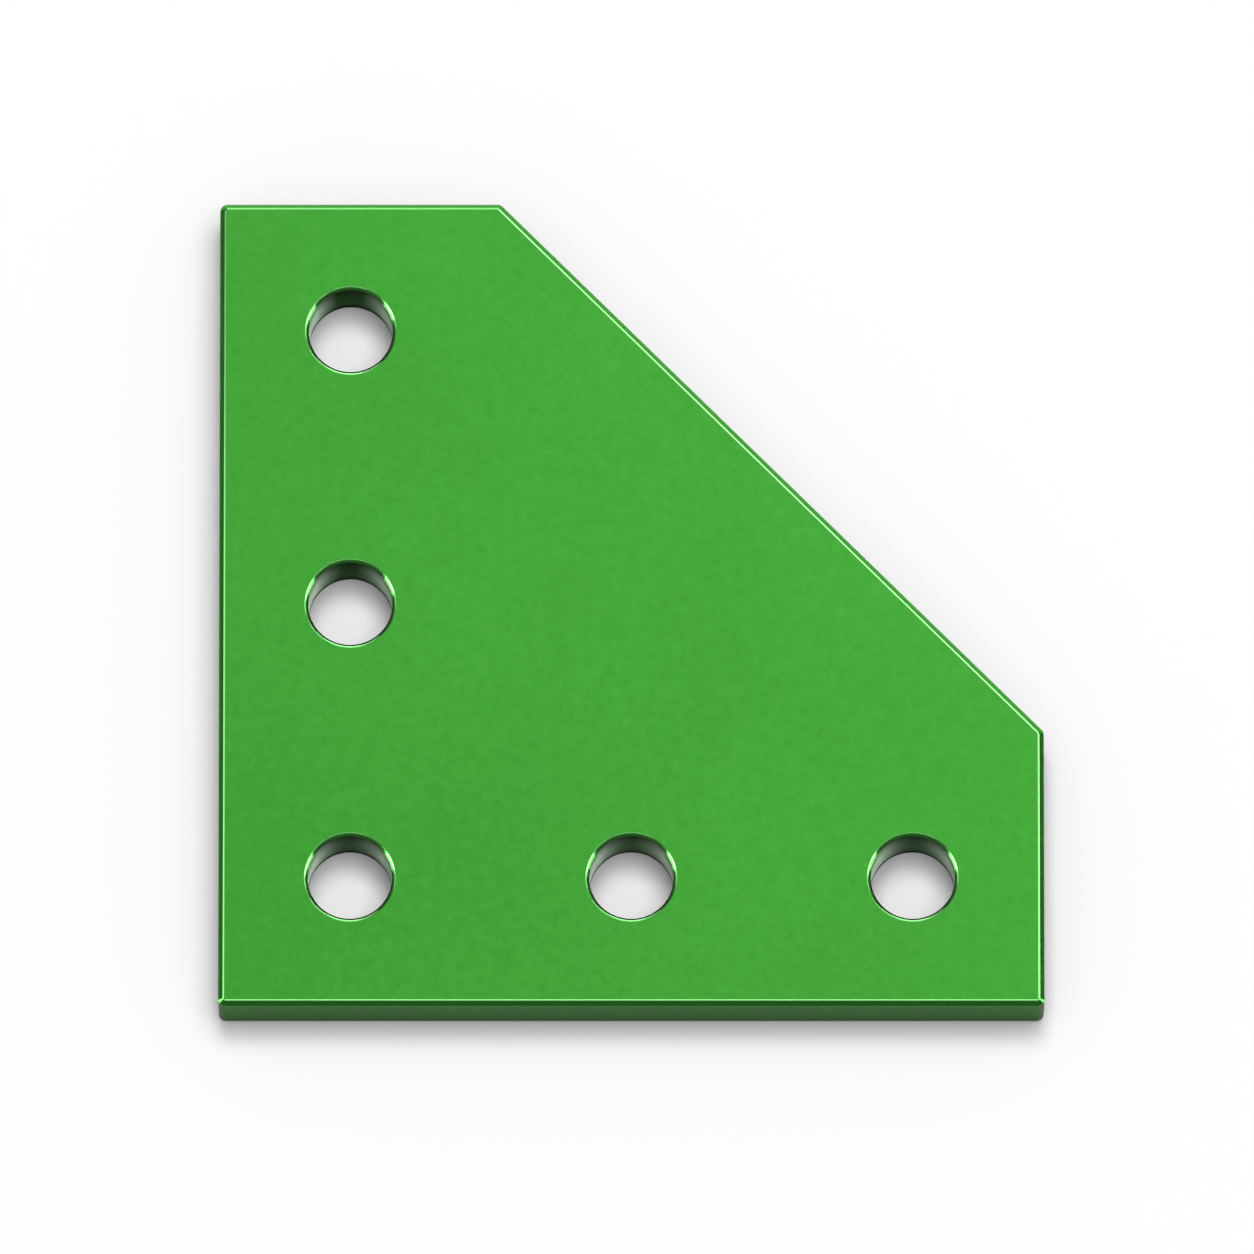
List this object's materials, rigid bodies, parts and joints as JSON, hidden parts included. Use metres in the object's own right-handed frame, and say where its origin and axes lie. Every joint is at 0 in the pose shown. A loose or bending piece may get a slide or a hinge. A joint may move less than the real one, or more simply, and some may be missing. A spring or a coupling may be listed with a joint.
{
  "type": "extrusion joining plate",
  "caption": "Flat right-angle joining plate with a slanting cut corner and a row of bolt holes along each leg, for tying slotted framing bars together.",
  "frame": {"origin": "on the axis of the corner hole, in the face that lies against the framing bars", "axes": "+X along the lower leg, +Y along the upright leg, +Z out of the plate towards the bolt heads"},
  "size_m": [0.088, 0.088, 0.008],
  "materials": {
    "green_anodised": "satin anodised"
  },
  "bodies": {
    "root": {"joining_plate": "green_anodised"}
  },
  "joints": []
}
